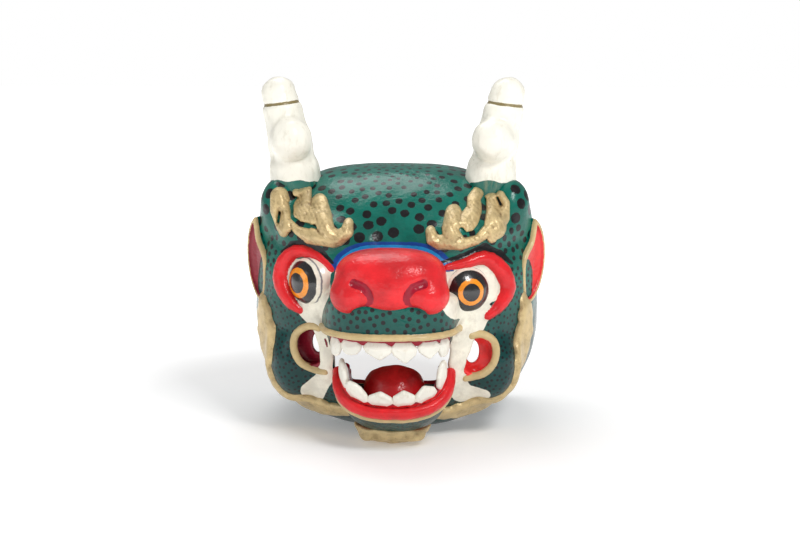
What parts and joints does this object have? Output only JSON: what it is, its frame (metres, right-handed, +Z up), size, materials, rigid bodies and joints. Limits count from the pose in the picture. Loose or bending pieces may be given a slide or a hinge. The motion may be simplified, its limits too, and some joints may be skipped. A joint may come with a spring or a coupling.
{
  "type": "carved dragon dance mask",
  "caption": "Hollow carved and painted wooden dragon dance mask with horns, ears, open toothed jaws, padded lining, head strap and a swinging wire hanging bail.",
  "frame": {"origin": "on the resting plane, midway between the outer edges of the ears and midway between the tip of the nose and the back rim", "axes": "+Z up along the height, -Y the way the face looks, +X towards the mask's own left ear as a viewer in front sees it on the right"},
  "size_m": [0.3, 0.26, 0.347],
  "materials": {
    "painted_shell": "green lacquer with black dots outside, raw brown wood inside",
    "nose_lacquer": "glossy red lacquer",
    "jaw_lacquer": "glossy red lacquer lip over a green dotted jaw",
    "gilt": "matt gilt paint with brown patina",
    "horn_enamel": "cream enamel, brushed",
    "ear_lacquer": "red lacquer with a gilt rim and green dotted back",
    "eye_lacquer": "cream lacquer with a painted orange ring and black pupil",
    "tooth_enamel": "cream enamel",
    "tongue_lacquer": "glossy red lacquer",
    "corner_lacquer": "red lacquer lining with a gilt rim",
    "bare_wood": "raw turned dowel",
    "pad_felt": "soft grey-brown felted wool",
    "strap_cotton": "unbleached cotton webbing",
    "nail_steel": "dull drawn steel wire",
    "eyelet_brass": "aged brass"
  },
  "bodies": {
    "mask": {"head_shell": "painted_shell", "nose": "nose_lacquer", "lower_jaw": "jaw_lacquer", "chin_tuft": "gilt", "left_brow": "gilt", "right_brow": "gilt", "left_cheek_band": "gilt", "right_cheek_band": "gilt", "left_horn": "horn_enamel", "right_horn": "horn_enamel", "left_ear": "ear_lacquer", "right_ear": "ear_lacquer", "left_eyeball": "eye_lacquer", "right_eyeball": "eye_lacquer", "upper_tooth_1": "tooth_enamel", "upper_tooth_2": "tooth_enamel", "upper_tooth_3": "tooth_enamel", "upper_tooth_4": "tooth_enamel", "upper_tooth_5": "tooth_enamel", "upper_tooth_6": "tooth_enamel", "lower_tooth_1": "tooth_enamel", "lower_tooth_2": "tooth_enamel", "lower_tooth_3": "tooth_enamel", "lower_tooth_4": "tooth_enamel", "lower_tooth_5": "tooth_enamel", "lower_tooth_6": "tooth_enamel", "tongue": "tongue_lacquer", "left_mouth_corner": "corner_lacquer", "right_mouth_corner": "corner_lacquer", "horn_pegs": "bare_wood", "jaw_pegs": "bare_wood", "forehead_pad": "pad_felt", "crown_pad": "pad_felt", "left_temple_pad": "pad_felt", "right_temple_pad": "pad_felt", "head_strap": "strap_cotton", "strap_nails": "nail_steel", "screw_eyes": "eyelet_brass"},
    "bail": {"hanging_bail": "nail_steel"}
  },
  "joints": [
    {"name": "bail_swing", "type": "hinge", "parent": "mask", "child": "bail", "pos_m": [0, 0.112, 0.214], "axis": [1, 0, 0], "range_deg": [-60, 90]}
  ]
}
